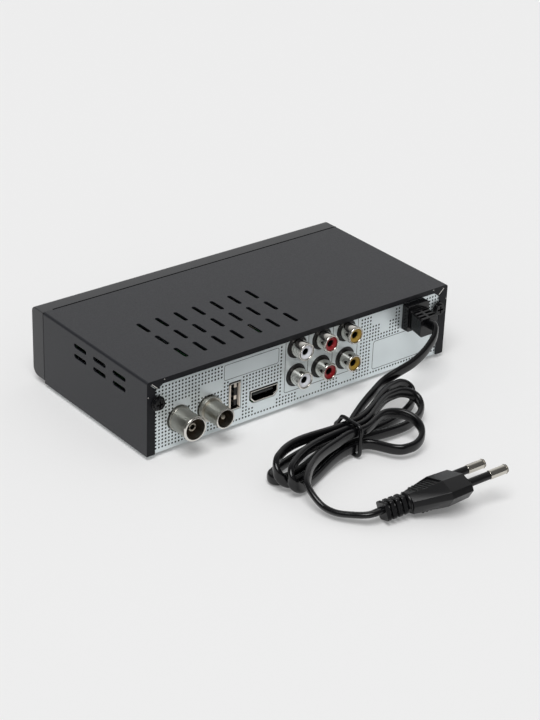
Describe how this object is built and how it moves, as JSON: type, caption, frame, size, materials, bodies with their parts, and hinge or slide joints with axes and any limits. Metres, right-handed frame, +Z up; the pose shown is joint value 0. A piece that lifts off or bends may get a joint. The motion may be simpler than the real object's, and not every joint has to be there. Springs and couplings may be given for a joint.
{
  "type": "terrestrial tv receiver",
  "caption": "Low steel receiver box with a plastic front, rear aerial, data, picture and phono sockets, push keys and a tied flat mains cord ending in a two-pin plug.",
  "frame": {"origin": "on the table under the middle of the box, cord left out", "axes": "+Z up, front panel towards -Y, sockets towards +Y, aerial sockets on the +X side"},
  "size_m": [0.17, 0.2033, 0.0376],
  "materials": {
    "cover_paint": "fine satin",
    "panel_sheet": "satin, pale silver print",
    "front_plastic": "fine grain",
    "window_plastic": "tinted gloss",
    "button_plastic": "satin",
    "pale_plastic": "satin",
    "black_plastic": "satin",
    "board_green": "solder mask",
    "board_brown": "phenolic board",
    "zinc_steel": "zinc plate",
    "heat_sink_metal": "extruded",
    "nickel": "nickel plate",
    "contact_brass": "plated",
    "white_insert": "smooth",
    "red_insert": "smooth",
    "yellow_insert": "smooth",
    "fuse_glass": "clear",
    "ribbon_plastic": "satin",
    "wire_plastic": "satin",
    "black_screw": "black oxide",
    "foot_rubber": "matt",
    "cord_plastic": "soft satin"
  },
  "bodies": {
    "case": {"top_cover": "cover_paint", "bottom_chassis": "panel_sheet", "front_panel": "front_plastic", "display_window": "window_plastic", "switch_housings": "black_plastic", "front_board": "board_green", "front_board_screws": "zinc_steel", "led_display": "black_plastic", "ir_receiver": "black_plastic", "main_board": "board_green", "power_board": "board_brown", "standoffs": "zinc_steel", "board_screws": "zinc_steel", "main_chip": "black_plastic", "heat_sink": "heat_sink_metal", "tuner_can": "zinc_steel", "rf_in_shell": "nickel", "rf_in_insulator": "black_plastic", "rf_in_contact": "contact_brass", "rf_out_shell": "nickel", "rf_out_insulator": "black_plastic", "rf_out_pin": "contact_brass", "usb_shell": "nickel", "usb_tongue": "black_plastic", "usb_contacts": "contact_brass", "hdmi_shell": "nickel", "hdmi_tongue": "black_plastic", "rca_block": "black_plastic", "rca_barrels": "nickel", "rca_white_inserts": "white_insert", "rca_red_inserts": "red_insert", "rca_yellow_inserts": "yellow_insert", "transformer": "board_brown", "bulk_capacitor": "black_plastic", "output_capacitors": "black_plastic", "fuse": "fuse_glass", "ribbon_headers": "pale_plastic", "ribbon_cable": "ribbon_plastic", "cover_screws": "black_screw", "rubber_feet": "foot_rubber", "cord_bushing": "cord_plastic", "mains_wires": "wire_plastic", "cord_lead": "cord_plastic", "cord_hank": "cord_plastic", "cord_tie": "cord_plastic", "cord_tail": "cord_plastic", "plug_body": "cord_plastic", "plug_sleeves": "cord_plastic", "plug_pins": "nickel"},
    "power_key": {"power_button": "button_plastic", "power_plunger": "pale_plastic"},
    "channel_up_key": {"channel_up_button": "button_plastic", "channel_up_plunger": "pale_plastic"},
    "channel_down_key": {"channel_down_button": "button_plastic", "channel_down_plunger": "pale_plastic"}
  },
  "joints": [
    {"name": "power_press", "type": "slide", "parent": "case", "child": "power_key", "axis": [0, 1, 0], "range_m": [0, 0.0005], "stiffness_N_per_m": 1200},
    {"name": "channel_up_press", "type": "slide", "parent": "case", "child": "channel_up_key", "axis": [0, 1, 0], "range_m": [0, 0.0005], "stiffness_N_per_m": 1200},
    {"name": "channel_down_press", "type": "slide", "parent": "case", "child": "channel_down_key", "axis": [0, 1, 0], "range_m": [0, 0.0005], "stiffness_N_per_m": 1200}
  ]
}
